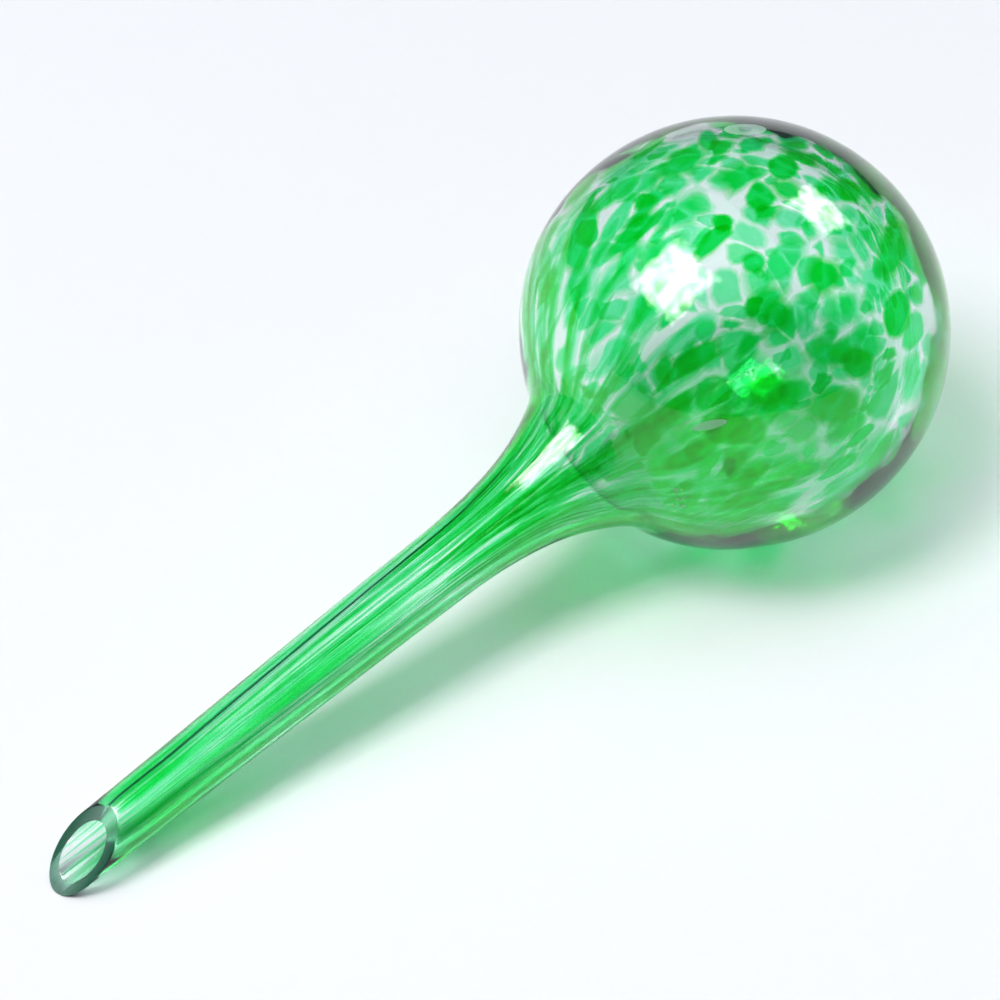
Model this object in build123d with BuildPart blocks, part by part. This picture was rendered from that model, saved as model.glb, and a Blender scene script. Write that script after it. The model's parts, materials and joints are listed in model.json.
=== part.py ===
"""Hand-blown watering globe: a clear glass globe, neck and stem with green glass rolled into the outside.

Millimetres, +Z up. The vessel lies as it does on a table, on the bottom of its globe and on the long lip of
its mouth. Its axis is in the XZ plane, with the mouth towards -X. "Along" is the distance from the globe's
centre towards the mouth, on that axis.
"""

import os
from math import asin, atan2, cos, hypot, pi, radians, sin, sqrt

from build123d import *

# Globe
globe_d = 80.0
overall_length = 200.0  # on the axis, from the far pole to the long lip
globe_wall_mean = 2.1
cavity_shift = 1.1  # the hollow sits nearer the mouth, so the glass is thickest at the far pole

# Neck
neck_root_r = 18.6  # where the flare leaves the globe
neck_length = 36.6
flare_shape = [(0.125, 0.60), (0.29, 0.35), (0.56, 0.12)]  # share of the length, share of the narrowing left

# Stem and mouth
stem_neck_r = 6.8
stem_mouth_r = 5.1
stem_thickness_at_neck = 1.8
mouth_bore_r = 3.5
mouth_bore_length = 30.0
mouth_slant = 1.4  # along, for each millimetre across

# Green glass, rolled in flush with the outside
chip_depth = 0.7
chip_count = 126
chip_turn = 20.0  # degrees, keeps chips off the point that the globe rests on
deep_chip_r = 4.4
mid_chip_r = 3.7
pale_chip_r = 3.0
chip_margin = 1.0  # clear glass between the last chips and the neck
streak_depth = 0.5
streak_count = 24
streak_cover = 0.45  # share of the way round
tool_overrun = 1.0  # how far a cutting shape stands out of the glass

# Places along the axis, and the radii there
globe_r = globe_d / 2
cavity_r = globe_r - globe_wall_mean
lip_along = overall_length - globe_r
neck_root_along = sqrt(globe_r**2 - neck_root_r**2)
neck_bore_root_r = sqrt(cavity_r**2 - (neck_root_along - cavity_shift) ** 2)
neck_end_along = neck_root_along + neck_length
stem_bore_neck_r = stem_neck_r - stem_thickness_at_neck
stem_taper = (stem_mouth_r - stem_neck_r) / (lip_along - neck_end_along)
mouth_bore_start = lip_along - mouth_bore_length
mouth_middle = lip_along - mouth_slant * stem_mouth_r
bore_taper = (mouth_bore_r - stem_bore_neck_r) / (mouth_bore_start - neck_end_along)
streak_arc = 360 * streak_cover / streak_count

# Rest pose, where the globe and the long lip both touch the table
tilt = asin(globe_r / hypot(lip_along, stem_mouth_r)) - atan2(stem_mouth_r, lip_along)
globe_x = (lip_along * cos(tilt) - stem_mouth_r * sin(tilt) - globe_r) / 2
globe_centre = Vector(globe_x, 0, globe_r)
to_mouth = Vector(-cos(tilt), 0, -sin(tilt))
across_up = Vector(-sin(tilt), 0, cos(tilt))
sideways = to_mouth.cross(across_up)
vessel_axis = Axis(globe_centre, to_mouth)
profile = Plane(globe_centre, x_dir=to_mouth, z_dir=sideways)
cut_plane = Plane(globe_centre + to_mouth * mouth_middle, z_dir=to_mouth + across_up * mouth_slant)


def streak_planes():
    """Planes through the axis where the streaks start, spread round it, clear of the lip's lowest point."""
    spin = Axis((0, 0, 0), to_mouth)
    normals = [sideways.rotate(spin, 360 * (index + 0.5) / streak_count) for index in range(streak_count)]
    return [Plane(globe_centre, x_dir=to_mouth, z_dir=normal) for normal in normals]


def flare_curve(root_r, end_r, root_tangent, end_slope):
    """Curve of the neck, from the globe to the stem."""
    points = [(neck_root_along, root_r)]
    for length_share, radius_share in flare_shape:
        points.append((neck_root_along + neck_length * length_share, end_r + (root_r - end_r) * radius_share))
    points.append((neck_end_along, end_r))
    return Spline(*points, tangents=[root_tangent, (1, end_slope)])


def neck_outside(step=0.0):
    """Outside of the neck, moved outwards by a step."""
    tangent = (neck_root_r, -neck_root_along)
    return flare_curve(neck_root_r + step, stem_neck_r + step, tangent, stem_taper)


def neck_inside():
    """Inside of the neck, from the hollow to the stem's bore."""
    tangent = (neck_bore_root_r, cavity_shift - neck_root_along)
    return flare_curve(neck_bore_root_r, stem_bore_neck_r, tangent, bore_taper)


def stem_outside(step=0.0):
    """Outside of the stem before its mouth is cut, moved outwards by a step."""
    return Line((neck_end_along, stem_neck_r + step), (lip_along, stem_mouth_r + step))


def close_strip(inner, outer):
    """Joins the ends of two lines that run along the vessel."""
    Line(inner @ 0, outer @ 0)
    Line(inner @ 1, outer @ 1)


def chip_places(first):
    """Every third place of a golden spiral over the globe, from the far pole to the neck."""
    places = []
    for index in range(first, chip_count, len(chip_radii)):
        along = globe_r * ((2 * index + 1) / chip_count - 1)
        if along + deep_chip_r + chip_margin > neck_root_along:
            continue
        turn = index * pi * (3 - sqrt(5)) + radians(chip_turn)
        around = across_up * cos(turn) + sideways * sin(turn)
        outwards = to_mouth * along + around * sqrt(globe_r**2 - along**2)
        places.append(Plane(globe_centre + outwards, z_dir=outwards))
    return places


chip_radii = {"deep_green_chips": deep_chip_r, "mid_green_chips": mid_chip_r, "pale_green_chips": pale_chip_r}
chip_planes = {name: chip_places(first) for first, name in enumerate(chip_radii)}
pieces = {}

# Clear globe, open at the neck, with a pocket for every chip
with BuildPart() as globe_wall:
    with Locations(globe_centre):
        Sphere(globe_r)
    with Locations(globe_centre + to_mouth * cavity_shift):
        Sphere(cavity_r, mode=Mode.SUBTRACT)
    split(bisect_by=Plane(globe_centre + to_mouth * neck_root_along, z_dir=to_mouth), keep=Keep.BOTTOM)
    for name, chip_r in chip_radii.items():
        with Locations(*chip_planes[name]):
            Cylinder(chip_r, 2 * chip_depth, mode=Mode.SUBTRACT)
pieces["globe_wall"] = globe_wall

# Green chips, one batch for each shade, trimmed to the outside of the globe
for name, chip_r in chip_radii.items():
    with BuildPart() as green_chips:
        with Locations(*chip_planes[name]):
            Cylinder(chip_r, 2 * chip_depth)
        with Locations(globe_centre):
            Sphere(globe_r, mode=Mode.INTERSECT)
    pieces[name] = green_chips

# Clear neck, flaring from the stem to the globe, with a groove for every streak
with BuildPart() as neck_wall:
    with BuildSketch(profile):
        with BuildLine():
            close_strip(neck_inside(), neck_outside())
        make_face()
    revolve(axis=vessel_axis)
    for plane in streak_planes():
        with BuildSketch(plane):
            with BuildLine():
                close_strip(neck_outside(-streak_depth), neck_outside(tool_overrun))
            make_face()
    revolve(axis=vessel_axis, revolution_arc=streak_arc, mode=Mode.SUBTRACT)
pieces["neck_wall"] = neck_wall

# Green chips drawn out along the flare
with BuildPart() as neck_streaks:
    for plane in streak_planes():
        with BuildSketch(plane):
            with BuildLine():
                close_strip(neck_outside(-streak_depth), neck_outside())
            make_face()
    revolve(axis=vessel_axis, revolution_arc=streak_arc)
pieces["neck_streaks"] = neck_streaks

# Clear stem with a tapered bore, a straight bore at the mouth, a groove for every streak and a slanted cut
with BuildPart() as stem_wall:
    with BuildSketch(profile):
        with BuildLine():
            outside = stem_outside()
            tapered_bore = Line((neck_end_along, stem_bore_neck_r), (mouth_bore_start, mouth_bore_r))
            mouth_bore = Line(tapered_bore @ 1, (lip_along, mouth_bore_r))
            Line(outside @ 0, tapered_bore @ 0)
            Line(outside @ 1, mouth_bore @ 1)
        make_face()
    revolve(axis=vessel_axis)
    for plane in streak_planes():
        with BuildSketch(plane):
            with BuildLine():
                close_strip(stem_outside(-streak_depth), stem_outside(tool_overrun))
            make_face()
    revolve(axis=vessel_axis, revolution_arc=streak_arc, mode=Mode.SUBTRACT)
    split(bisect_by=cut_plane, keep=Keep.BOTTOM)
pieces["stem_wall"] = stem_wall

# The same streaks, drawn out to fine lines along the stem and cut with it
with BuildPart() as stem_streaks:
    for plane in streak_planes():
        with BuildSketch(plane):
            with BuildLine():
                close_strip(stem_outside(-streak_depth), stem_outside())
            make_face()
    revolve(axis=vessel_axis, revolution_arc=streak_arc)
    split(bisect_by=cut_plane, keep=Keep.BOTTOM)
pieces["stem_streaks"] = stem_streaks

os.makedirs("parts", exist_ok=True)
for name, piece in pieces.items():
    piece.part.label = name
    export_step(piece.part, f"parts/{name}.step")
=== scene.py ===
"""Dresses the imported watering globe: blown clear glass, green chips and streaks, on a white table.

Laid out as a Blender add-on and run as a script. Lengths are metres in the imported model's frame.
"Along" is the distance from the globe's centre towards the mouth on the vessel's axis, and "turn"
is the angle round it.
"""

import json
import math

import bpy
import numpy as np
from bpy.props import FloatProperty, FloatVectorProperty, IntProperty, PointerProperty
from mathutils import Matrix, Vector


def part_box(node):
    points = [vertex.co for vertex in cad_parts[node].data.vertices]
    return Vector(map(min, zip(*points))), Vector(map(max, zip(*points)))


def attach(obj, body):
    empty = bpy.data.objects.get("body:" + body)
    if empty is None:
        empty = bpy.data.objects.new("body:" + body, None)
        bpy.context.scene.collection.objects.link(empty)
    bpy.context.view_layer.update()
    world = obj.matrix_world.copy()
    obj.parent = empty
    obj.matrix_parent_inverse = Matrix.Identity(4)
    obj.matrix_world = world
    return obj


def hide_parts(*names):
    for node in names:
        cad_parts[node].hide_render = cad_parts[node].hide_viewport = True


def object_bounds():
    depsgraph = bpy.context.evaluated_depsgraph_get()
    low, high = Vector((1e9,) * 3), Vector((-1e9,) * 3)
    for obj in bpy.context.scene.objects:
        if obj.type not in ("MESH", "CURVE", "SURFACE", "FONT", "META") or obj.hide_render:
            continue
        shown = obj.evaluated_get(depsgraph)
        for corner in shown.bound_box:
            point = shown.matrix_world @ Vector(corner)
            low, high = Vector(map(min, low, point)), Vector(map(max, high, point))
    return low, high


bl_info = {
    "name": "Watering globe",
    "version": (1, 0, 0),
    "blender": (4, 5, 0),
    "location": "View3D > Sidebar > Globe",
    "description": "Blown glass watering globe with green chips, built on its packed CAD frame",
    "category": "Object",
}

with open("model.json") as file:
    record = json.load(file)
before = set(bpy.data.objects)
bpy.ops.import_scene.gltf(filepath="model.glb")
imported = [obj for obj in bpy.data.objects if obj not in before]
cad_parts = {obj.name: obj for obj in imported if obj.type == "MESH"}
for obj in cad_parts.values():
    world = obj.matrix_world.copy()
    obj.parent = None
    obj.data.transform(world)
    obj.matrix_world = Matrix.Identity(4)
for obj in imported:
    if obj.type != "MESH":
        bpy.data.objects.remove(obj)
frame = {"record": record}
CAD_LOW, CAD_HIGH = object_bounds()
MM = 0.001

# The vessel's own axes, and the radii and the places along (NECK_ROOT, NECK_END and LIP) that the
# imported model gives
MOUTH_MOUNT = next(mount for mount in frame["record"]["mounts"] if mount["name"] == "mouth_bore")
TO_MOUTH = np.array(MOUTH_MOUNT["axis"])
ACROSS_UP = np.array((TO_MOUTH[2], 0.0, -TO_MOUTH[0]))
SIDEWAYS = np.cross(TO_MOUTH, ACROSS_UP)
GLOBE_R = (CAD_HIGH.y - CAD_LOW.y) / 2
CENTRE = np.array((CAD_HIGH.x - GLOBE_R, 0.0, GLOBE_R))
LIP_REACH = CENTRE[0] - CAD_LOW.x
LIP = -TO_MOUTH[2] * GLOBE_R - TO_MOUTH[0] * LIP_REACH
STEM_MOUTH_R = -TO_MOUTH[0] * GLOBE_R + TO_MOUTH[2] * LIP_REACH
MOUTH_BORE_R = MOUTH_MOUNT["dims"]["r_mm"] * MM
NECK_ROOT_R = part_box("neck_wall")[1].y
NECK_ROOT = math.sqrt(GLOBE_R**2 - NECK_ROOT_R**2)
STEM_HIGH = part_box("stem_wall")[1]
STEM_NECK_R = STEM_HIGH.y
NECK_END = (STEM_HIGH.x - CENTRE[0] + STEM_NECK_R * TO_MOUTH[2]) / TO_MOUTH[0]

# The flare's five points: shares of its length, and of the narrowing still to come
FLARE_LENGTHS = np.array((0.0, 0.125, 0.29, 0.56, 1.0))
FLARE_LEFT = np.array((1.0, 0.60, 0.35, 0.12, 0.0))
# The blown neck leans to the front and down: from one place, fully at the next, then fading
LEAN_FROM, LEAN_FULL, LEAN_FADE = 20 * MM, 38 * MM, 22 * MM
LEAN_WAY = -ACROSS_UP * 0.5 + SIDEWAYS * math.copysign(0.87, -SIDEWAYS[1])
LEAN_WAY = LEAN_WAY / np.linalg.norm(LEAN_WAY)
# The globe's hollow stands up and to the back, and fades to the axis before the neck
SAG_END, SAG_FADE = 34 * MM, 20 * MM
SAG_WAY = 0.57 * ACROSS_UP + 0.82 * SIDEWAYS

GOLDEN_ANGLE = math.pi * (3 - math.sqrt(5))
ANY_PHASE = 6.28
GLASS_IOR = 1.5
# Green glass and bubbles lie inside the clear glass and don't bend the light again
SUNK_IOR = 1.0
# Range of the shade that each chip and streak gets by chance
SHADE_RANGE = (0, 0.6)

# Features of the near wall as the picture shows them, in its pixels
PICTURE_SIZE = 1000
PICTURE_MIDDLE = 500
SENSOR_WIDTH = 36.0
# Large chips: place, width, height, tilt in degrees, and shade: 0 deep, 1 mid, 2 pale
LARGE_CHIPS = (
    (893, 248, 32, 72, 14, 0), (898, 314, 30, 54, 4, 0), (824, 275, 44, 46, 0, 0),
    (776, 315, 37, 42, 20, 0), (826, 354, 46, 36, 0, 0), (858, 363, 36, 38, 0, 0),
    (754, 262, 27, 24, 0, 0), (722, 222, 24, 20, 0, 0), (760, 196, 30, 34, 0, 0),
    (783, 167, 34, 26, 10, 0), (662, 368, 24, 40, 20, 0), (728, 429, 52, 34, -8, 0),
    (768, 391, 50, 42, -20, 0), (834, 406, 70, 42, -10, 0), (632, 233, 80, 24, -44, 0),
    (580, 238, 31, 84, 17, 0), (708, 139, 22, 22, 0, 0), (793, 140, 38, 16, 12, 0),
    (850, 190, 34, 22, 50, 0), (806, 470, 60, 22, -14, 0), (690, 452, 70, 22, -22, 0),
    (745, 500, 80, 18, -8, 0), (543, 271, 12, 52, 12, 1), (569, 303, 20, 56, 8, 1),
    (640, 312, 42, 52, 25, 1), (657, 236, 34, 12, -44, 1), (643, 181, 74, 20, -38, 2),
    (653, 155, 62, 14, -18, 2), (600, 300, 18, 64, 22, 2),
)
# Clear places: place and radius
CLEAR_PLACES = (
    (785, 258, 9), (733, 308, 9), (806, 300, 8), (668, 345, 9), (868, 400, 9),
    (614, 206, 9), (604, 232, 8), (586, 290, 8), (560, 262, 8), (604, 272, 8),
    (842, 446, 15), (893, 405, 13), (905, 442, 10), (946, 330, 40), (930, 410, 34),
    (885, 486, 14), (765, 119, 34), (700, 121, 26), (826, 139, 26),
)
# Flat bubbles: both ends and the width
FLAT_BUBBLES = (
    (724, 131, 766, 129, 30),
    (589, 372, 604, 342, 11),
    (594, 466, 620, 426, 9),
    (691, 429, 727, 421, 9),
)
# Cluster of seed bubbles: place, spread and count
SEED_BUBBLES = (680, 496, 11, 7)

# Lamps: name, direction from the globe, distance, width and depth, watts and colour
LAMPS = (
    ("key_lamp", (-0.50, 0.045, 0.86), 4.0, (1.15, 1.54), 78.0, (1.0, 1.0, 1.0)),
    ("strip_lamp", (-0.33, 0.045, 0.94), 4.0, (1.54, 4.9), 26.0, (1.0, 1.0, 1.0)),
    ("sky_lamp", (-0.15, 0.0, 0.99), 2.6, (3.5, 3.5), 53.0, (0.96, 0.965, 1.0)),
)
# Glowing cards: name, direction from the globe, distance, width, strength and spin in degrees
CARDS = (
    ("window_card", (-0.57, 0.165, 0.80), 1.0, 0.68, 30.0, 5),
    ("second_card", (0.69, -0.03, 0.72), 1.0, 0.46, 22.0, 20),
)
TABLE_WIDTH = 6.0
TABLE_GAP = 0.05 * MM


def titled(kind, name, description, default, **settings):
    """Property with its title, description and first value."""
    return kind(name=name, description=description, default=default, **settings)


def length_mm(name, description, millimetres):
    """Length, given in millimetres and kept in metres."""
    return titled(FloatProperty, name, description, millimetres * MM, unit="LENGTH")


def angle_degrees(name, description, degrees):
    """Angle, given in degrees and kept in radians."""
    return titled(FloatProperty, name, description, math.radians(degrees), subtype="ANGLE")


def colour_rgb(name, description, rgb):
    """Colour, as its three linear shares."""
    return titled(FloatVectorProperty, name, description, rgb, size=3, subtype="COLOR")


class VesselSizes(bpy.types.PropertyGroup):
    """Sizes of the clear glass"""

    globe_wall: length_mm("Globe wall", "Mean wall of the globe", 2.9)
    cavity_shift: length_mm("Hollow shift", "How far the hollow sits towards the mouth", 2.0)
    stem_wall: length_mm("Stem wall", "Wall of the stem at the neck", 1.8)
    mouth_bore: length_mm("Mouth bore", "Length of the straight bore at the mouth", 30)
    mouth_slant: titled(FloatProperty, "Mouth slant", "Run of the cut for each unit across", 1.47)
    mouth_turn: angle_degrees("Mouth turn", "How far the cut is turned round the stem", -8)
    lip_round: length_mm("Lip round", "Polished edge of the cut mouth", 0.28)
    lean: length_mm("Neck lean", "How far the flare is off the axis, as blown", 1.15)
    sag: length_mm("Wall sag", "How far the hollow is off the axis, to the upper back", 1.4)
    sides: titled(IntProperty, "Sides", "Steps round the axis", 160, min=24)


class GreenGlass(bpy.types.PropertyGroup):
    """Sizes, counts and colours of the green glass"""

    chip_count: titled(IntProperty, "Chips", "Chips over the globe", 430, min=30)
    chip_depth: length_mm("Chip depth", "Clear glass over the chips", 0.22)
    chip_thickness: length_mm("Chip thickness", "Thickness of a chip's middle", 0.4)
    vein: length_mm("Veins", "Mean clear vein between chips", 0.04)
    bare_share: titled(
        FloatProperty, "Bare share", "Share of the chips left out", 0.03, min=0, max=1
    )
    neck_count: titled(IntProperty, "Neck streaks", "Streaks along the flare", 230, min=3)
    stem_count: titled(IntProperty, "Stem streaks", "Fine lines along the stem", 225, min=3)
    deep: colour_rgb("Deep green", "Light let through by a deep chip", (0.002, 0.75, 0.06))
    mid: colour_rgb("Mid green", "Light let through by a mid chip", (0.03, 0.88, 0.25))
    pale: colour_rgb("Pale green", "Light let through by a pale chip", (0.25, 0.95, 0.55))
    stem: colour_rgb("Stem green", "Light let through by a stem streak", (0.03, 0.72, 0.2))


class StageSettings(bpy.types.PropertyGroup):
    """Table, lamps and camera"""

    azimuth: angle_degrees("Azimuth", "Camera's side", -39.8)
    elevation: angle_degrees("Elevation", "Camera's height", 45)
    lens: titled(FloatProperty, "Lens", "Focal length in mm, on a 36 mm sensor", 108.0)
    globe_pixel: titled(
        FloatVectorProperty, "Globe pixel", "Globe's place in the picture", (732.5, 333.0), size=2
    )
    globe_pixel_r: titled(FloatProperty, "Globe pixels", "The globe's radius in the picture", 216.0)
    table: colour_rgb("Table", "Colour of the table", (0.9, 0.91, 0.93))


def flare_radius(along, root_r, end_r, root_slope, end_slope):
    """Radius of the flare: a smooth curve through its five points, with its slope at both ends."""
    knots = NECK_ROOT + (NECK_END - NECK_ROOT) * FLARE_LENGTHS
    radii = end_r + (root_r - end_r) * FLARE_LEFT
    steps = np.diff(knots)
    rises = np.diff(radii) / steps
    system = np.eye(len(knots))
    known = np.zeros(len(knots))
    known[0], known[-1] = root_slope, end_slope
    for i in range(1, len(knots) - 1):
        system[i, i - 1 : i + 2] = steps[i], 2 * (steps[i - 1] + steps[i]), steps[i - 1]
        known[i] = 3 * (rises[i - 1] * steps[i] + rises[i] * steps[i - 1])
    slopes = np.linalg.solve(system, known)
    i = np.clip(np.searchsorted(knots, along) - 1, 0, len(steps) - 1)
    u = (along - knots[i]) / steps[i]
    rise = radii[i + 1] - radii[i]
    start, end = slopes[i] * steps[i], slopes[i + 1] * steps[i]
    return radii[i] + u * (start + u * (3 * rise - 2 * start - end + u * (start + end - 2 * rise)))


def outer_radius(along):
    """Outside radius of the vessel."""
    along = np.asarray(along, float)
    taper = (STEM_MOUTH_R - STEM_NECK_R) / (LIP - NECK_END)
    globe = np.sqrt(np.maximum(GLOBE_R**2 - along**2, 0))
    flare = flare_radius(along, NECK_ROOT_R, STEM_NECK_R, -NECK_ROOT / NECK_ROOT_R, taper)
    stem = STEM_NECK_R + taper * (along - NECK_END)
    return np.where(along < NECK_ROOT, globe, np.where(along < NECK_END, flare, stem))


def inner_radius(along, sizes):
    """Inside radius of the vessel: the hollow, the flare, the tapered bore and the straight one."""
    along = np.asarray(along, float)
    hollow_r = GLOBE_R - sizes.globe_wall
    from_hollow = along - sizes.cavity_shift
    root_from_hollow = NECK_ROOT - sizes.cavity_shift
    root_r = math.sqrt(hollow_r**2 - root_from_hollow**2)
    bore_r = STEM_NECK_R - sizes.stem_wall
    bore_start = LIP - sizes.mouth_bore
    taper = (MOUTH_BORE_R - bore_r) / (bore_start - NECK_END)
    hollow = np.sqrt(np.maximum(hollow_r**2 - from_hollow**2, 0))
    flare = flare_radius(along, root_r, bore_r, -root_from_hollow / root_r, taper)
    bore = np.maximum(bore_r + taper * (along - NECK_END), MOUTH_BORE_R)
    return np.where(along < NECK_ROOT, hollow, np.where(along < NECK_END, flare, bore))


def unit(vectors):
    """Directions of vectors, as vectors of length 1."""
    return vectors / np.linalg.norm(vectors, axis=-1, keepdims=True)


def eased(share):
    """Share kept between 0 and 1 and smoothed at both ends."""
    share = np.clip(share, 0, 1)
    return share * share * (3 - 2 * share)


def lean(along, sizes):
    """How far the blown neck stands off the axis, most where the flare leaves the globe."""
    along = np.asarray(along, float)
    fall = np.exp(-np.maximum(along - LEAN_FULL, 0) / LEAN_FADE)
    return sizes.lean * eased((along - LEAN_FROM) / (LEAN_FULL - LEAN_FROM)) * fall


def hollow_sag(along, sizes):
    """How far the hollow stands off the axis: fully in the globe, fading out before the neck."""
    return sizes.sag * eased((SAG_END - np.asarray(along, float)) / SAG_FADE)


def place(along, radius, turn, sizes):
    """Points of the vessel, as rows, from places along the axis, radii and turns."""
    along, radius, turn = np.broadcast_arrays(along, radius, turn)
    around = np.cos(turn)[..., None] * ACROSS_UP + np.sin(turn)[..., None] * SIDEWAYS
    straight = CENTRE + along[..., None] * TO_MOUTH + radius[..., None] * around
    return straight + lean(along, sizes)[..., None] * LEAN_WAY


def cut_along(radius, turn, sizes):
    """Where the slanted cut crosses a line along the stem."""
    across = STEM_MOUTH_R + radius * np.cos(turn - sizes.mouth_turn)
    return LIP - sizes.mouth_slant * across


def camera_axes(stage):
    """The camera's place, its right, up and back directions, and its focal length in pixels."""
    focal = stage.lens / SENSOR_WIDTH * PICTURE_SIZE
    distance = focal * GLOBE_R / stage.globe_pixel_r
    sin_a, cos_a = math.sin(stage.azimuth), math.cos(stage.azimuth)
    sin_e, cos_e = math.sin(stage.elevation), math.cos(stage.elevation)
    back = np.array((sin_a * cos_e, -cos_a * cos_e, sin_e))
    right = np.array((cos_a, sin_a, 0.0))
    up = np.cross(back, right)
    aside = (stage.globe_pixel[0] - PICTURE_MIDDLE) / focal * distance
    above = (PICTURE_MIDDLE - stage.globe_pixel[1]) / focal * distance
    return CENTRE + back * distance - right * aside - up * above, right, up, back, focal


def seen_at(stage, x, y, far_wall=False):
    """Directions from the globe's centre, in the vessel's axes, to picture places on one wall."""
    location, right, up, back, focal = camera_axes(stage)
    x, y = np.asarray(x, float)[..., None], np.asarray(y, float)[..., None]
    ray = unit(right * (x - PICTURE_MIDDLE) / focal + up * (PICTURE_MIDDLE - y) / focal - back)
    nearest = (ray @ (CENTRE - location))[..., None]
    miss = np.linalg.norm(location + nearest * ray - CENTRE, axis=-1, keepdims=True)
    half = np.sqrt(np.maximum(GLOBE_R**2 - miss**2, 0))
    out = unit(location + (nearest + (half if far_wall else -half)) * ray - CENTRE)
    return np.stack((-(out @ TO_MOUTH), out @ ACROSS_UP, out @ SIDEWAYS), -1)


def on_sphere(polar, turn):
    """Directions in the vessel's axes, from the angle off the far pole and the turn."""
    return np.stack((np.cos(polar), np.sin(polar) * np.cos(turn), np.sin(polar) * np.sin(turn)), -1)


def deselect():
    """Leaves nothing selected, so that the next operator acts on the new piece alone."""
    if bpy.context.object and bpy.context.object.mode != "OBJECT":
        bpy.ops.object.mode_set(mode="OBJECT")
    bpy.ops.object.select_all(action="DESELECT")


def face_outwards():
    """Turns the faces of the active piece outwards."""
    bpy.ops.object.mode_set(mode="EDIT")
    bpy.ops.mesh.select_all(action="SELECT")
    bpy.ops.mesh.normals_make_consistent()
    bpy.ops.object.mode_set(mode="OBJECT")


def finish_piece(piece, material, slot, *nodes):
    """Gives a piece its finish and its body, and lets it stand for its CAD nodes."""
    piece.data.materials.clear()
    piece.data.materials.append(material)
    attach(piece, "root")
    if nodes:
        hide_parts(*nodes)


def mesh_piece(name, points, faces, strength, shade):
    """New object from points and faces, with the two numbers per point that green glass reads."""
    mesh = bpy.data.meshes.new(name)
    mesh.from_pydata([tuple(p) for p in points], [], faces)
    if mesh.validate():
        raise RuntimeError(f"{name} has faces that don't hold together")
    for attribute, values in (("strength", strength), ("shade", shade)):
        layer = mesh.attributes.new(attribute, "FLOAT", "POINT")
        layer.data.foreach_set("value", np.asarray(values, np.float32))
    piece = bpy.data.objects.new(name, mesh)
    bpy.context.collection.objects.link(piece)
    deselect()
    bpy.context.view_layer.objects.active = piece
    piece.select_set(True)
    face_outwards()
    bpy.ops.object.shade_smooth()
    return piece


def new_material(name):
    """New node material, as (material, node tree)."""
    material = bpy.data.materials.new(name)
    material.use_nodes = True
    return material, material.node_tree


def set_inputs(node, inputs):
    """Sets a node's inputs: outputs of other nodes are linked, and values are written."""
    for key, value in inputs.items():
        if isinstance(value, bpy.types.NodeSocket):
            node.id_data.links.new(value, node.inputs[key])
        else:
            node.inputs[key].default_value = value


def set_glass(tree, colour, ior, transmission, roughness):
    """Sets a material's Principled shader to a kind of glass."""
    glass = {"Transmission Weight": transmission, "IOR": ior, "Roughness": roughness}
    set_inputs(tree.nodes["Principled BSDF"], {**glass, "Base Color": colour})


def coordinate(tree, kind):
    """Places that a pattern is laid over."""
    return tree.nodes.new("ShaderNodeTexCoord").outputs[kind]


def noise(tree, where, scale, detail):
    """Soft noise over places."""
    node = tree.nodes.new("ShaderNodeTexNoise")
    set_inputs(node, {"Vector": where, "Scale": scale, "Detail": detail})
    return node.outputs["Fac"]


def ramp(tree, factor, low, high, low_at=0.0, high_at=1.0):
    """Colour between two colours, from a factor and where each of them is reached."""
    node = tree.nodes.new("ShaderNodeValToRGB")
    set_inputs(node, {"Fac": factor})
    start, end = node.color_ramp.elements
    start.position, start.color = low_at, (*low, 1)
    end.position, end.color = high_at, (*high, 1)
    return node.outputs["Color"]


def remap(tree, value, source, target, interpolation="LINEAR"):
    """Value carried from one range to another."""
    node = tree.nodes.new("ShaderNodeMapRange")
    node.interpolation_type = interpolation
    names = ("Value", "From Min", "From Max", "To Min", "To Max")
    set_inputs(node, dict(zip(names, (value, *source, *target))))
    return node.outputs["Result"]


def compute(tree, operation, *values, kind="ShaderNodeMath"):
    """One step of arithmetic."""
    node = tree.nodes.new(kind)
    node.operation = operation
    set_inputs(node, dict(enumerate(values)))
    return node.outputs[0]


def split_vector(tree, vector):
    """The three numbers of a place, by name."""
    node = tree.nodes.new("ShaderNodeSeparateXYZ")
    set_inputs(node, {"Vector": vector})
    return node.outputs


def point_number(tree, name):
    """Number that each point of the mesh carries."""
    node = tree.nodes.new("ShaderNodeAttribute")
    node.attribute_name = name
    return node.outputs["Fac"]


def clear_glass():
    """Clear blown glass: faintly green, more so the longer the way through it, softly rippled."""
    material, tree = new_material("clear_blown_glass")
    where = coordinate(tree, "Object")
    tint = noise(tree, where, 45.0, 2.0)
    smears = noise(tree, where, 160.0, 4.0)
    ripples = noise(tree, where, 70.0, 1.5)
    bump = tree.nodes.new("ShaderNodeBump")
    set_inputs(bump, {"Strength": 0.35, "Distance": 0.6 * MM, "Height": ripples})
    set_inputs(tree.nodes["Principled BSDF"], {"Normal": bump.outputs["Normal"]})
    polish = remap(tree, smears, (0.45, 0.8), (0.0, 0.03))
    colours = ramp(tree, tint, (0.94, 0.99, 0.975), (0.98, 0.995, 0.99))
    set_glass(tree, colours, GLASS_IOR, transmission=1.0, roughness=polish)
    depth = tree.nodes.new("ShaderNodeVolumeAbsorption")
    set_inputs(depth, {"Color": (0.1, 0.62, 0.62, 1), "Density": 17.0})
    set_inputs(tree.nodes["Material Output"], {"Volume": depth.outputs["Volume"]})
    return material


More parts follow.
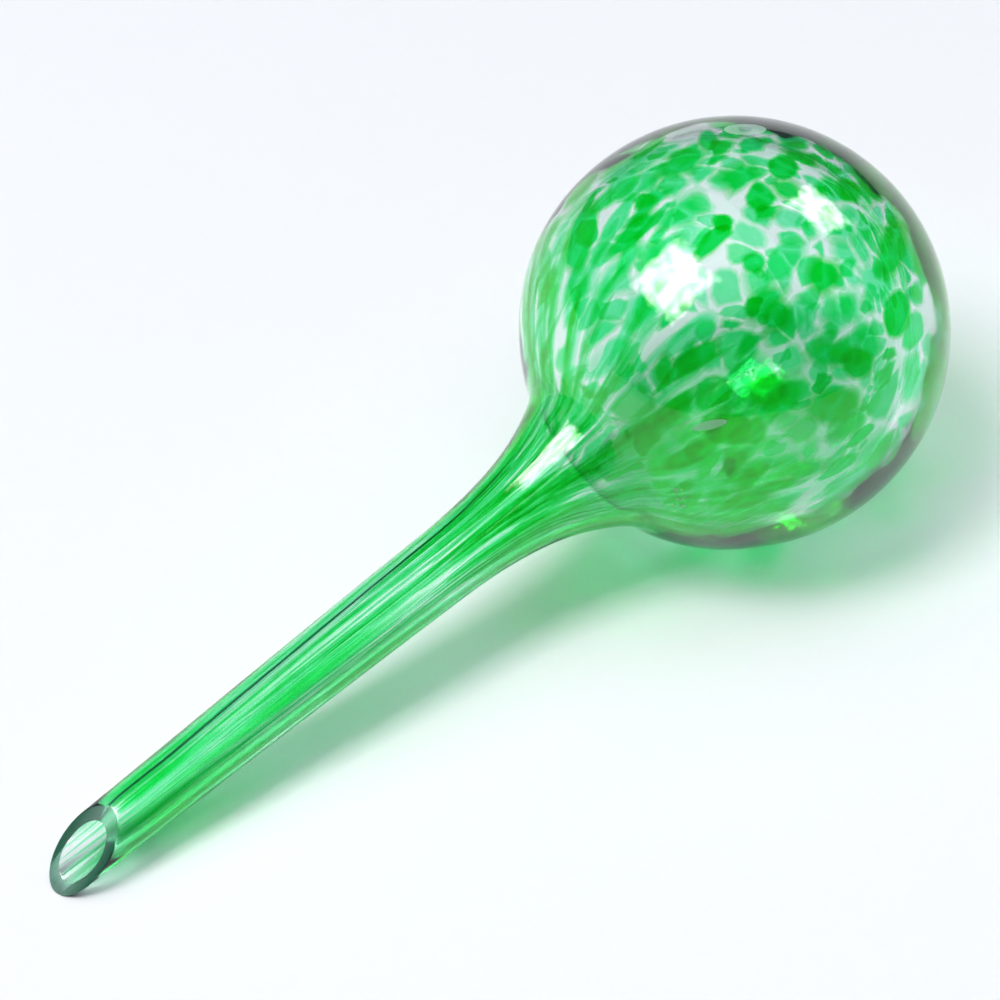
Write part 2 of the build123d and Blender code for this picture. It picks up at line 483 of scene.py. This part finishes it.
def cut_glass():
    """Ground end of the wall at the mouth: a little frosted, green because it shows end on, with
    painted shade darker towards the sides.
    """
    material, tree = new_material("cut_glass_edge")
    where = coordinate(tree, "Object")
    off_middle = compute(tree, "ABSOLUTE", split_vector(tree, where)["Y"])
    # Painted shade: the ring is coloured darker towards its sides and paler in its middle
    painted_shade_to_sides = remap(tree, off_middle, (1.2 * MM, 4.4 * MM), (0.0, 0.8))
    frost_and_painted_shade = compute(tree, "MULTIPLY_ADD", noise(tree, where, 500.0, 3.0), 0.2, painted_shade_to_sides)
    colours = ramp(tree, frost_and_painted_shade, (0.42, 0.74, 0.60), (0.02, 0.30, 0.14))
    set_glass(tree, colours, GLASS_IOR, transmission=0.7, roughness=0.25)
    return material


def bubble_painted_reflection():
    """Flat air bubbles in the wall, shown as pale, faintly green patches by a painted reflection."""
    material, tree = new_material("bubble_painted_reflection")
    cloud = noise(tree, coordinate(tree, "Object"), 300.0, 2.0)
    # Painted reflection: pale colours in place of the light that a flat bubble's surface reflects
    colours = ramp(tree, cloud, (0.66, 0.86, 0.76), (0.80, 0.93, 0.88))
    set_glass(tree, colours, SUNK_IOR, transmission=0.7, roughness=0.3)
    return material


def green_glass(name, colour, neighbour):
    """Green glass inside the clear wall: full in a chip's middle, thinning to its edge, mottled."""
    material, tree = new_material(name)
    mottle = noise(tree, coordinate(tree, "Object"), 420.0, 3.0)
    blend = compute(tree, "MULTIPLY_ADD", mottle, 0.6, point_number(tree, "shade"))
    tone = ramp(tree, blend, colour, neighbour, low_at=0.15)
    thin = tree.nodes.new("ShaderNodeMix")
    thin.data_type = "RGBA"
    strength = point_number(tree, "strength")
    set_inputs(thin, {"Factor": strength, "A": (0.93, 0.99, 0.95, 1), "B": tone})
    set_glass(tree, thin.outputs["Result"], SUNK_IOR, transmission=1.0, roughness=0.0)
    return material


def card_glow(name, strength):
    """Glow of a card: bright in the middle, fading to its edges, and patchy."""
    material, tree = new_material(name)
    tree.nodes.remove(tree.nodes["Principled BSDF"])
    where = coordinate(tree, "UV")
    off_middle = compute(tree, "SUBTRACT", where, (0.5, 0.5, 0), kind="ShaderNodeVectorMath")
    off_middle = compute(tree, "ABSOLUTE", off_middle, kind="ShaderNodeVectorMath")
    off_middle = split_vector(tree, off_middle)
    edge = compute(tree, "MAXIMUM", off_middle["X"], off_middle["Y"])
    folds = noise(tree, where, 5.0, 3.0)
    uneven = compute(tree, "MULTIPLY_ADD", folds, 0.32, edge)
    fade = remap(tree, uneven, (0.42, 0.62), (strength, 0.0), "SMOOTHSTEP")
    slope = remap(tree, folds, (0.3, 0.7), (1.0, 0.3))
    glow = tree.nodes.new("ShaderNodeEmission")
    set_inputs(glow, {"Strength": compute(tree, "MULTIPLY", fade, slope)})
    set_inputs(tree.nodes["Material Output"], {"Surface": glow.outputs["Emission"]})
    return material


def lens_faces(first, sides):
    """Faces of one lens-shaped chip: outline, upper ring and middle, lower ring and middle."""
    outline, upper, lower = first, first + sides, first + 2 * sides + 1
    top, bottom = first + 2 * sides, first + 3 * sides + 1
    faces = []
    for i in range(sides):
        j = (i + 1) % sides
        faces += [(outline + i, outline + j, upper + j, upper + i), (upper + i, upper + j, top)]
        faces += [(outline + j, outline + i, lower + i, lower + j), (lower + j, lower + i, bottom)]
    return faces


def sliver_faces(first, stations):
    """Faces of one long streak: a pointed end, stations of four points, and the other end."""
    faces = []
    for i in range(4):
        j = (i + 1) % 4
        faces.append((first, first + 1 + i, first + 1 + j))
        for k in range(stations - 1):
            a, b = first + 1 + 4 * k, first + 5 + 4 * k
            faces.append((a + i, b + i, b + j, a + j))
        last = first + 1 + 4 * (stations - 1)
        faces.append((first + 1 + 4 * stations, last + j, last + i))
    return faces


class GLOBE_OT_vessel(bpy.types.Operator):
    """Blow the clear vessel: spin its two sides, cut the mouth on a slant and close the wall"""

    bl_idname = "globe.vessel"
    bl_label = "Clear vessel"

    # Points of the profile along the globe, the flare, the stem and the straight bore
    globe_points, flare_points, stem_points, bore_points = 84, 34, 16, 5
    # How far the profile's last stretch begins before the cut and runs past the lip
    before_cut, past_lip = MM, 2 * MM
    weld = 0.002 * MM
    lip_angle = math.radians(32)
    smooth_angle = math.radians(35)
    # How squarely a face of the cut looks along the cut's own direction
    cut_squareness = 0.95

    def profiles(self, sizes):
        """Places along the axis of the outside's and the inside's profile, from the far pole."""
        hollow_r = GLOBE_R - sizes.globe_wall
        root_turn = math.acos((NECK_ROOT - sizes.cavity_shift) / hollow_r)
        globe_turn = np.linspace(0, math.pi - math.asin(NECK_ROOT_R / GLOBE_R), self.globe_points)
        hollow_turn = np.linspace(0, math.pi - root_turn, self.globe_points)
        bore_start = LIP - sizes.mouth_bore
        bore_end = cut_along(STEM_NECK_R, 0.0, sizes) - self.before_cut
        neck_and_stem = (
            np.linspace(NECK_ROOT, NECK_END, self.flare_points)[1:],
            np.linspace(NECK_END, bore_start, self.stem_points)[1:],
            np.linspace(bore_start, bore_end, self.bore_points)[1:],
            (LIP + self.past_lip,),
        )
        outside = np.concatenate((-GLOBE_R * np.cos(globe_turn), *neck_and_stem))
        hollow = sizes.cavity_shift - hollow_r * np.cos(hollow_turn)
        return outside, np.concatenate((hollow, *neck_and_stem))

    def spin_wall(self, along, radius, sides, inside):
        """Extrudes one vertex along a profile, spins it round the axis, and hides the wall."""
        radius[0] = 0.0
        profile = CENTRE + along[:, None] * TO_MOUTH + radius[:, None] * ACROSS_UP
        points = [Vector(point) for point in profile]
        bpy.ops.mesh.select_all(action="DESELECT")
        bpy.ops.mesh.primitive_plane_add(size=MM, location=points[0])
        bpy.ops.mesh.merge(type="CENTER")
        for start, end in zip(points, points[1:]):
            bpy.ops.mesh.extrude_region_move(TRANSFORM_OT_translate={"value": end - start})
        bpy.ops.mesh.select_all(action="SELECT")
        bpy.ops.mesh.spin(steps=sides, angle=2 * math.pi, center=CENTRE, axis=TO_MOUTH)
        bpy.ops.mesh.select_all(action="SELECT")
        bpy.ops.mesh.remove_doubles(threshold=self.weld)
        bpy.ops.mesh.normals_make_consistent(inside=inside)
        bpy.ops.mesh.hide()

    def cut_mouth(self, mouth_middle, off_the_cut, lip_round):
        """Cuts the mouth, closes the wall between outside and inside, and rounds the lip."""
        bpy.ops.mesh.bisect(plane_co=mouth_middle, plane_no=off_the_cut, clear_outer=True)
        bpy.ops.mesh.select_mode(type="EDGE")
        bpy.ops.mesh.select_all(action="DESELECT")
        other_faults = ("use_wire", "use_multi_face", "use_non_contiguous", "use_verts")
        bpy.ops.mesh.select_non_manifold(extend=False, **dict.fromkeys(other_faults, False))
        bpy.ops.mesh.bridge_edge_loops()
        bpy.ops.mesh.select_all(action="SELECT")
        bpy.ops.mesh.normals_make_consistent()
        bpy.ops.mesh.select_all(action="DESELECT")
        bpy.ops.mesh.edges_select_sharp(sharpness=self.lip_angle)
        bpy.ops.mesh.bevel(offset=lip_round, segments=3)

    def set_off_axis(self, mesh, sizes):
        """Moves the hollow and the neck off the axis, as they were blown."""
        points = np.empty(3 * len(mesh.vertices), np.float32)
        mesh.vertices.foreach_get("co", points)
        points = points.reshape(-1, 3).astype(float)
        along = (points - CENTRE) @ TO_MOUTH
        off_axis = np.linalg.norm(points - CENTRE - along[:, None] * TO_MOUTH, axis=1)
        inside = off_axis < (outer_radius(along) + inner_radius(along, sizes)) / 2
        points += np.where(inside, hollow_sag(along, sizes), 0)[:, None] * SAG_WAY
        points += lean(along, sizes)[:, None] * LEAN_WAY
        mesh.vertices.foreach_set("co", points.astype(np.float32).ravel())

    def execute(self, context):
        sizes = context.scene.globe_vessel
        outside, inside = self.profiles(sizes)
        mouth_middle = CENTRE + (LIP - sizes.mouth_slant * STEM_MOUTH_R) * TO_MOUTH
        upper_side = math.cos(sizes.mouth_turn) * ACROSS_UP + math.sin(sizes.mouth_turn) * SIDEWAYS
        off_the_cut = unit(TO_MOUTH + sizes.mouth_slant * upper_side)
        deselect()
        bpy.ops.mesh.primitive_plane_add(size=MM)
        vessel = context.object
        vessel.name = vessel.data.name = "vessel_glass"
        bpy.ops.object.mode_set(mode="EDIT")
        bpy.ops.mesh.delete(type="VERT")
        self.spin_wall(outside, outer_radius(outside), sizes.sides, inside=False)
        self.spin_wall(inside, inner_radius(inside, sizes), sizes.sides, inside=True)
        bpy.ops.mesh.reveal(select=True)
        self.cut_mouth(mouth_middle, off_the_cut, sizes.lip_round)
        bpy.ops.object.mode_set(mode="OBJECT")
        self.set_off_axis(vessel.data, sizes)
        bpy.ops.object.transform_apply()
        bpy.ops.object.shade_smooth_by_angle(angle=self.smooth_angle)
        finish_piece(vessel, clear_glass(), "clear_glass", "globe_wall", "neck_wall", "stem_wall")
        vessel.data.materials.append(cut_glass())
        square_to_cut = Vector(off_the_cut)
        mouth_end = mouth_middle[0] + sizes.mouth_slant * GLOBE_R
        for face in vessel.data.polygons:
            if face.normal.dot(square_to_cut) > self.cut_squareness and face.center.x < mouth_end:
                face.material_index = 1
        return {"FINISHED"}


class GLOBE_OT_bubbles(bpy.types.Operator):
    """Sink the flat bubbles and the cluster of seeds that show in the globe's wall"""

    bl_idname = "globe.bubbles"
    bl_label = "Bubbles in the wall"

    seed = 5
    segments, rings = 20, 12
    depth, half_depth = 0.075 * MM, 0.05 * MM
    # Millimetres
    seed_radii = (0.22, 0.42)

    def add_bubble(self, middle, along, half_length, half_width):
        """One flat bubble, pressed out of a sphere and laid in the wall; returns its object."""
        out, along = (v @ np.stack((-TO_MOUTH, ACROSS_UP, SIDEWAYS)) for v in (middle, along))
        across = np.cross(out, along)
        deselect()
        bpy.ops.mesh.primitive_uv_sphere_add(
            segments=self.segments, ring_count=self.rings, radius=1.0
        )
        bubble = bpy.context.object
        axes = Matrix((along * half_length, across * half_width, out * self.half_depth))
        middle = CENTRE + out * (GLOBE_R - self.depth)
        bubble.matrix_world = Matrix.Translation(middle) @ axes.transposed().to_4x4()
        bpy.ops.object.transform_apply()
        face_outwards()
        return bubble

    def execute(self, context):
        stage = context.scene.globe_stage
        bubbles = []
        for x, y, x2, y2, width in FLAT_BUBBLES:
            ends = seen_at(stage, (x, x2), (y, y2))
            middle = unit(ends.mean(0))
            along = ends[1] - ends[0]
            length = np.linalg.norm(along)
            half_length = length / 2 * GLOBE_R
            half_width = width / 2 / stage.globe_pixel_r * GLOBE_R
            bubbles.append(self.add_bubble(middle, along / length, half_length, half_width))
        x, y, spread, count = SEED_BUBBLES
        random = np.random.default_rng(self.seed)
        for dx, dy in random.normal(0, 0.5 * spread, (count, 2)):
            middle = seen_at(stage, x + dx, y + dy)
            along = unit(np.cross(middle, (0.0, 0.0, 1.0)))
            radius = random.uniform(*self.seed_radii) * MM
            bubbles.append(self.add_bubble(middle, along, radius, radius))
        deselect()
        for bubble in bubbles:
            bubble.select_set(True)
        context.view_layer.objects.active = bubbles[0]
        bpy.ops.object.join()
        piece = context.object
        piece.name = piece.data.name = "wall_bubbles"
        bpy.ops.object.shade_smooth()
        finish_piece(piece, bubble_painted_reflection(), "clear_glass")
        return {"FINISHED"}


class GLOBE_OT_chips(bpy.types.Operator):
    """Scatter the green chips over the globe, three shades, drawn out towards the neck"""

    bl_idname = "globe.chips"
    bl_label = "Green chips"

    seed = 11
    sides = 14
    neighbours = 14
    # Angles off the far pole: the gather's last chips, where the stretch begins, and where it ends
    last_polar = math.radians(116)
    stretch_from = math.radians(62)
    end_polars = (math.radians(134), math.radians(153))
    # How far a chip at the neck narrows to a point
    narrowing = 0.85
    large_wobble, small_wobble = 0.04, 0.05
    # Ranges of a chip's depth and of its full ring, and how much colour is left at its outline
    depth_range, ring_range, outline_strength = (0.5, 1.5), (0.45, 0.82), 0.15
    # How much of a large chip, and what distance from a bubble, keeps small chips away
    large_reach, bubble_reach = 0.8, 0.06
    # In spacings: how far chips stray, their uneven sizes, their reach, and the last one's margin
    stray, size_spread, reach_range, end_margin = 0.28, 0.3, (0.2, 0.95), 0.1
    # Least sine, facing and cosine to divide by, and the least share of the way to a neighbour
    least_sine, least_facing, least_cosine, least_share = 0.2, 1e-9, 0.05, 0.3
    # The higher, the sharper a chip's corners
    corner_power = 7.0
    # In mean veins
    vein_range = (-0.6, 1.7)
    # Waves of shade over the globe: how fine, how many, and how much single chips depart from them
    wave_fineness, wave_count, shade_spread = 3.0, 5, 0.3
    # Shares of the chips that are pale, and that are pale or mid
    shade_shares = (0.36, 0.7)

    def stretched(self, out, end_polar, middle_turn):
        """Directions on the blown globe of places on the gather, before the neck was drawn."""
        polar = np.arccos(np.clip(out[..., 0], -1, 1))
        over = np.clip((polar - self.stretch_from) / (self.last_polar - self.stretch_from), 0, 1)
        polar = np.minimum(polar, self.last_polar) + (end_polar - self.last_polar) * over**2
        turn = np.arctan2(out[..., 2], out[..., 1])
        off_middle = (turn - middle_turn + math.pi) % (2 * math.pi) - math.pi
        return on_sphere(polar, middle_turn + off_middle * (1 - self.narrowing * over**4))

    def wobble(self, random, angles, amount):
        """Uneven outline, as a factor for every angle."""
        return 1 + sum(
            random.normal(0, amount) * np.cos(n * angles + random.uniform(0, ANY_PHASE))
            for n in (2, 3, 4, 5)
        )

    def add_chip(self, batch, middle, outline, random, green, sizes):
        """Adds one lens-shaped chip to a batch, full in its middle and thinning to its outline."""
        points, faces, strength, shade = batch
        first = len(points)
        depth = green.chip_depth * random.uniform(*self.depth_range)
        ring = middle + random.uniform(*self.ring_range) * (outline - middle)
        levels = [(out, lift, 1.0) for lift in (1, -1) for out in (ring, middle[None])]
        for out, lift, full in ((outline, 0, self.outline_strength), *levels):
            out = unit(out)
            r = GLOBE_R - depth - green.chip_thickness / 2 * (1 - lift)
            turn = np.arctan2(out[:, 2], out[:, 1])
            points.extend(place(-r * out[:, 0], r * np.hypot(out[:, 1], out[:, 2]), turn, sizes))
            strength.extend([full] * len(out))
        shade.extend([random.uniform(*SHADE_RANGE)] * (len(points) - first))
        faces.extend(lens_faces(first, self.sides))

    def execute(self, context):
        scene = context.scene
        green, sizes, stage = scene.globe_green, scene.globe_vessel, scene.globe_stage
        random = np.random.default_rng(self.seed)
        count = green.chip_count
        angles = np.arange(self.sides) * 2 * math.pi / self.sides
        rays = np.stack((np.cos(angles), np.sin(angles)), -1)
        batches = [([], [], [], []) for _ in range(3)]

        # Large chips where the picture has them, and all that small chips keep away from
        taken = []
        for x, y, width, height, tilt, shade in LARGE_CHIPS:
            uneven = self.wobble(random, angles, self.large_wobble)[:, None]
            edge = rays * (width / 2, height / 2) * uneven
            sin_t, cos_t = math.sin(math.radians(tilt)), math.cos(math.radians(tilt))
            edge = edge @ np.array(((cos_t, sin_t), (-sin_t, cos_t)))
            middle = seen_at(stage, x, y)
            outline = seen_at(stage, x + edge[:, 0], y + edge[:, 1])
            mean_radius = np.linalg.norm(outline - middle, axis=1).mean()
            taken.append((middle, self.large_reach * mean_radius))
            self.add_chip(batches[shade], middle, outline, random, green, sizes)
        for x, y, radius in CLEAR_PLACES:
            reach = radius / stage.globe_pixel_r
            taken.append((seen_at(stage, x, y), reach))
            taken.append((seen_at(stage, x, y, far_wall=True), reach))
        for x, y, x2, y2, _ in FLAT_BUBBLES:
            taken.append((seen_at(stage, (x + x2) / 2, (y + y2) / 2), self.bubble_reach))

        # Small chips: a spiral of places from the far pole, a little astray
        rank = (np.arange(count) + 0.5) / count
        polar = np.arccos(1 - rank * (1 - math.cos(self.last_polar)))
        turn = np.arange(count) * GOLDEN_ANGLE
        spacing = math.sqrt(2 * math.pi * (1 - math.cos(self.last_polar)) / count)
        polar = np.abs(polar + random.normal(0, self.stray * spacing, count))
        aside = random.normal(0, self.stray * spacing, count)
        turn = turn + aside / np.maximum(np.sin(polar), self.least_sine)
        centre = on_sphere(polar, turn)
        down = np.stack(
            (-np.sin(polar), np.cos(polar) * np.cos(turn), np.cos(polar) * np.sin(turn)), -1
        )
        across = np.cross(centre, down)
        size = random.normal(0, self.size_spread * spacing, count)
        closeness = centre @ centre.T
        np.fill_diagonal(closeness, -1)
        waves = random.normal(0, self.wave_fineness, (3, self.wave_count))
        phases = random.uniform(0, ANY_PHASE, self.wave_count)
        drift = np.cos(centre @ waves + phases).mean(1)
        drift = drift + random.normal(0, self.shade_spread, count)
        shade_rank = np.argsort(np.argsort(drift)) / count
        for i in range(count):
            end_polar = random.uniform(*self.end_polars)
            middle = self.stretched(centre[i], end_polar, turn[i])
            bare = shade_rank[i] < green.bare_share
            past_last = polar[i] > self.last_polar - self.end_margin * spacing
            if bare or past_last or any(np.linalg.norm(middle - m) < r for m, r in taken):
                continue
            # The chip reaches about halfway to its neighbours, less a vein
            near = np.argsort(-closeness[i])[: self.neighbours]
            angle = np.arccos(np.clip(closeness[i, near], -1, 1))
            flat = np.stack((centre[near] @ down[i], centre[near] @ across[i]), -1)
            flat *= (angle / np.linalg.norm(flat, axis=1))[:, None]
            way = np.maximum(angle + size[i] - size[near], self.least_share * angle)
            halfway = angle * way / 2
            facing = np.maximum(flat @ rays.T, self.least_facing)
            powers = (halfway[:, None] / facing) ** -self.corner_power
            reach = powers.sum(0) ** (-1 / self.corner_power)
            reach = reach - green.vein / GLOBE_R * random.uniform(*self.vein_range)
            least, most = (share * spacing for share in self.reach_range)
            reach = np.clip(reach, least, most) * self.wobble(random, angles, self.small_wobble)
            to_last = (self.last_polar - polar[i]) / np.maximum(rays[:, 0], self.least_cosine)
            reach = np.minimum(reach, to_last)
            toward = rays @ np.stack((down[i], across[i]))
            outline = np.cos(reach)[:, None] * centre[i] + np.sin(reach)[:, None] * toward
            outline = self.stretched(outline, end_polar, turn[i])
            shade = sum(shade_rank[i] < share for share in self.shade_shares)
            self.add_chip(batches[shade], middle, outline, random, green, sizes)

        shades = (
            ("deep", green.deep, green.mid),
            ("mid", green.mid, green.pale),
            ("pale", green.pale, green.mid),
        )
        for (name, colour, neighbour), batch in zip(shades, batches):
            piece = mesh_piece(f"chips_{name}_green", *batch)
            material = green_glass(f"{name}_green_glass", colour, neighbour)
            finish_piece(piece, material, f"{name}_green_glass", f"{name}_green_chips")
        return {"FINISHED"}


def streak_piece(scene, name, colour, streaks, random, stations):
    """Long streaks inside the wall, as one piece.

    A streak is a row: start, end, turn, half its width as a turn, depth, paleness and fullness.
    """
    green, sizes = scene.globe_green, scene.globe_vessel
    thickness = green.chip_thickness
    drift_spread, bend_spread, width_spread, bluntness = 0.05, 0.03, 0.12, 0.45
    tip_strength, edge_strength, slope_step = 0.5, 0.35, 0.5 * MM
    points, faces, strength, shade = [], [], [], []
    share = np.arange(1, stations + 1) / (stations + 1)
    tip_share = np.array((0.0, *share, 1.0))
    ring_strength = [edge_strength, 1.0, edge_strength, 1.0] * stations
    full_strength = np.array((tip_strength, *ring_strength, tip_strength))
    for start, end, turn, half_turn, depth, pale, full in streaks:
        drift = random.normal(0, drift_spread)
        bend = random.normal(0, bend_spread)
        uneven = 1 + random.normal(0, width_spread, stations)
        width = half_turn * np.sin(math.pi * share) ** bluntness * uneven
        first = len(points)
        along = start + (end - start) * tip_share
        middle_turn = turn + drift * (tip_share - 0.5) + bend * np.sin(math.pi * tip_share)
        rise = outer_radius(along + slope_step) - outer_radius(along - slope_step)
        steep = np.sqrt(1 + (rise / (2 * slope_step)) ** 2)
        radius = outer_radius(along) - (depth + thickness / 2) * steep
        rows = [place(along[:1], radius[:1], middle_turn[:1], sizes)]
        for k in range(stations):
            a, r, t = along[k + 1], radius[k + 1], middle_turn[k + 1]
            lift = thickness / 2 * steep[k + 1]
            ring_r = np.array((r, r + lift, r, r - lift))
            rows.append(place(a, ring_r, t + width[k] * np.array((-1, 0, 1, 0)), sizes))
        rows.append(place(along[-1:], radius[-1:], middle_turn[-1:], sizes))
        points.extend(np.concatenate(rows))
        strength.extend(full * full_strength)
        shade.extend([random.uniform(*SHADE_RANGE) + pale] * (len(points) - first))
        faces.extend(sliver_faces(first, stations))
    piece = mesh_piece(f"streaks_{name}", points, faces, strength, shade)
    material = green_glass(f"{name}_green_glass", colour, green.pale)
    finish_piece(piece, material, "mid_green_glass", f"{name}_streaks")


class GLOBE_OT_neck_streaks(bpy.types.Operator):
    """Draw the chips out along the flare"""

    bl_idname = "globe.neck_streaks"
    bl_label = "Neck streaks"

    seed = 23
    stations = 10
    # Starts in millimetres from the neck's root, and lengths in millimetres
    start_range, length_range = (-24, 17), (18, 38)
    turn_spread, half_turn_range, depth_range = 0.05, (0.025, 0.085), (1.4, 2.6)
    paleness = 0.25

    def execute(self, context):
        green = context.scene.globe_green
        random = np.random.default_rng(self.seed)
        count = green.neck_count
        starts = NECK_ROOT + random.uniform(*self.start_range, count) * MM
        ends = starts + random.uniform(*self.length_range, count) * MM
        turns = np.arange(count) * GOLDEN_ANGLE + random.normal(0, self.turn_spread, count)
        half_turns = random.uniform(*self.half_turn_range, count)
        depths = green.chip_depth * random.uniform(*self.depth_range, count)
        paleness, fullness = np.full(count, self.paleness), np.ones(count)
        streaks = np.stack((starts, ends, turns, half_turns, depths, paleness, fullness), -1)
        streak_piece(context.scene, "neck", green.deep, streaks, random, self.stations)
        return {"FINISHED"}


class GLOBE_OT_stem_streaks(bpy.types.Operator):
    """Draw fine green lines along the stem, up to the cut of the mouth"""

    bl_idname = "globe.stem_streaks"
    bl_label = "Stem streaks"

    seed = 37
    stations = 9
    # Faint, wide streaks: their share, how much wider they are, and how full
    faint_share, faint_width, faint_fullness = 0.36, 0.14, 0.35
    # Starts in millimetres from the neck's end, and how strongly faint and plain ones gather there
    start_low, start_span, faint_gather, gather = -20, 84, 0.6, 1.3
    # Lengths in millimetres, the clear glass left before the cut, and the least length
    length_range, cut_margin, least_length = (20, 58), 0.4 * MM, 6 * MM
    turn_spread, half_turn_range, depth_range = 0.03, (0.015, 0.1), (0.8, 2.6)
    paleness_at_lip = 0.6

    def execute(self, context):
        green, sizes = context.scene.globe_green, context.scene.globe_vessel
        random = np.random.default_rng(self.seed)
        count = green.stem_count
        faint = random.uniform(0, 1, count) < self.faint_share
        share = random.uniform(0, 1, count) ** np.where(faint, self.faint_gather, self.gather)
        starts = NECK_END + (self.start_span * share + self.start_low) * MM
        turns = np.arange(count) * GOLDEN_ANGLE + random.normal(0, self.turn_spread, count)
        stop = cut_along(STEM_MOUTH_R, turns, sizes) - self.cut_margin
        ends = np.minimum(starts + random.uniform(*self.length_range, count) * MM, stop)
        half_turns = random.uniform(*self.half_turn_range, count)
        half_turns = half_turns + np.where(faint, self.faint_width, 0)
        depths = green.chip_depth * random.uniform(*self.depth_range, count)
        fullness = np.where(faint, self.faint_fullness, 1.0)
        paleness = self.paleness_at_lip * (ends - NECK_END) / (LIP - NECK_END)
        streaks = np.stack((starts, ends, turns, half_turns, depths, paleness, fullness), -1)
        streaks = streaks[ends - starts > self.least_length]
        streak_piece(context.scene, "stem", green.stem, streaks, random, self.stations)
        return {"FINISHED"}


class GLOBE_OT_stage(bpy.types.Operator):
    """Set the white table, the soft lamps, the room and the camera"""

    bl_idname = "globe.stage"
    bl_label = "Table, lamps and camera"

    def face_globe(self, thing, direction, distance, spin):
        """Stands a lamp or card off in a direction from the globe, facing it."""
        direction = Vector(direction).normalized()
        turn = Matrix.Rotation(spin, 3, "Z").to_quaternion()
        thing.location = Vector(CENTRE) + direction * distance
        thing.rotation_mode = "QUATERNION"
        thing.rotation_quaternion = direction.to_track_quat("Z", "Y") @ turn

    def soft_lamp(self, name, direction, distance, sizes, watts, colour):
        """Soft lamp that lights the table and the glass and leaves the highlights to the cards."""
        deselect()
        bpy.ops.object.light_add(type="AREA")
        lamp = bpy.context.object
        lamp.name = name
        lamp.data.shape = "RECTANGLE"
        lamp.data.size, lamp.data.size_y = sizes
        lamp.data.energy = watts
        lamp.data.color = colour
        lamp.visible_glossy = False
        self.face_globe(lamp, direction, distance, 0.0)

    def soft_card(self, name, direction, distance, size, strength, spin):
        """Glowing card that only reflections see."""
        deselect()
        bpy.ops.mesh.primitive_plane_add(size=size)
        card = bpy.context.object
        card.name = name
        self.face_globe(card, direction, distance, math.radians(spin))
        card.visible_camera = card.visible_diffuse = False
        card.visible_transmission = card.visible_shadow = False
        card.data.materials.append(card_glow(name, strength))

    def white_table(self, colour):
        """Plain table a hair under the vessel."""
        deselect()
        bpy.ops.mesh.primitive_plane_add(size=TABLE_WIDTH, location=(0, 0, -TABLE_GAP))
        table = bpy.context.object
        table.name = "table"
        material, tree = new_material("white_table")
        finish = {"Base Color": (*colour, 1), "Roughness": 0.6, "Specular IOR Level": 0.2}
        set_inputs(tree.nodes["Principled BSDF"], finish)
        table.data.materials.append(material)

    def dim_room(self, scene):
        """Dim room, darker above."""
        world = bpy.data.worlds.new("room")
        scene.world = world
        world.use_nodes = True
        tree = world.node_tree
        height = split_vector(tree, coordinate(tree, "Generated"))["Z"]
        colours = ramp(tree, height, (0.13, 0.18, 0.22), (0.022, 0.032, 0.042), high_at=0.6)
        set_inputs(tree.nodes["Background"], {"Color": colours})

    def set_camera(self, scene, stage):
        """Camera that sees the globe where the picture has it."""
        location, right, up, back, _ = camera_axes(stage)
        deselect()
        bpy.ops.object.camera_add(location=location)
        camera = bpy.context.object
        camera.rotation_mode = "QUATERNION"
        camera.rotation_quaternion = Matrix((right, up, back)).transposed().to_quaternion()
        camera.data.sensor_width = SENSOR_WIDTH
        camera.data.lens = stage.lens
        scene.camera = camera

    def execute(self, context):
        scene, stage = context.scene, context.scene.globe_stage
        self.white_table(stage.table)
        for lamp in LAMPS:
            self.soft_lamp(*lamp)
        for card in CARDS:
            self.soft_card(*card)
        self.dim_room(scene)
        self.set_camera(scene, stage)
        scene.view_settings.view_transform = "Standard"
        # Light is guided far round inside the wall, so it needs many bounces
        scene.cycles.max_bounces = 128
        scene.cycles.transmission_bounces = 128
        scene.cycles.glossy_bounces = 32
        scene.cycles.diffuse_bounces = 4
        scene.cycles.sample_clamp_indirect = 0.0
        scene.cycles.blur_glossy = 0.0
        return {"FINISHED"}


class GLOBE_PT_panel(bpy.types.Panel):
    """Lists the steps that make the watering globe"""

    bl_label = "Watering globe"
    bl_idname = "GLOBE_PT_panel"
    bl_space_type = "VIEW_3D"
    bl_region_type = "UI"
    bl_category = "Globe"

    def draw(self, context):
        scene = context.scene
        for operator in OPERATORS:
            self.layout.operator(operator.bl_idname)
        for group in (scene.globe_vessel, scene.globe_green, scene.globe_stage):
            for name in group.__annotations__:
                self.layout.prop(group, name)


GROUPS = (VesselSizes, GreenGlass, StageSettings)
OPERATORS = (
    GLOBE_OT_vessel,
    GLOBE_OT_bubbles,
    GLOBE_OT_chips,
    GLOBE_OT_neck_streaks,
    GLOBE_OT_stem_streaks,
    GLOBE_OT_stage,
)


def register():
    for cls in (*GROUPS, *OPERATORS, GLOBE_PT_panel):
        bpy.utils.register_class(cls)
    bpy.types.Scene.globe_vessel = PointerProperty(type=VesselSizes)
    bpy.types.Scene.globe_green = PointerProperty(type=GreenGlass)
    bpy.types.Scene.globe_stage = PointerProperty(type=StageSettings)


def unregister():
    del bpy.types.Scene.globe_stage, bpy.types.Scene.globe_green, bpy.types.Scene.globe_vessel
    for cls in reversed((*GROUPS, *OPERATORS, GLOBE_PT_panel)):
        bpy.utils.unregister_class(cls)


def main():
    register()
    bpy.ops.globe.vessel()
    bpy.ops.globe.bubbles()
    bpy.ops.globe.chips()
    bpy.ops.globe.neck_streaks()
    bpy.ops.globe.stem_streaks()
    bpy.ops.globe.stage()


if __name__ == "__main__":
    main()
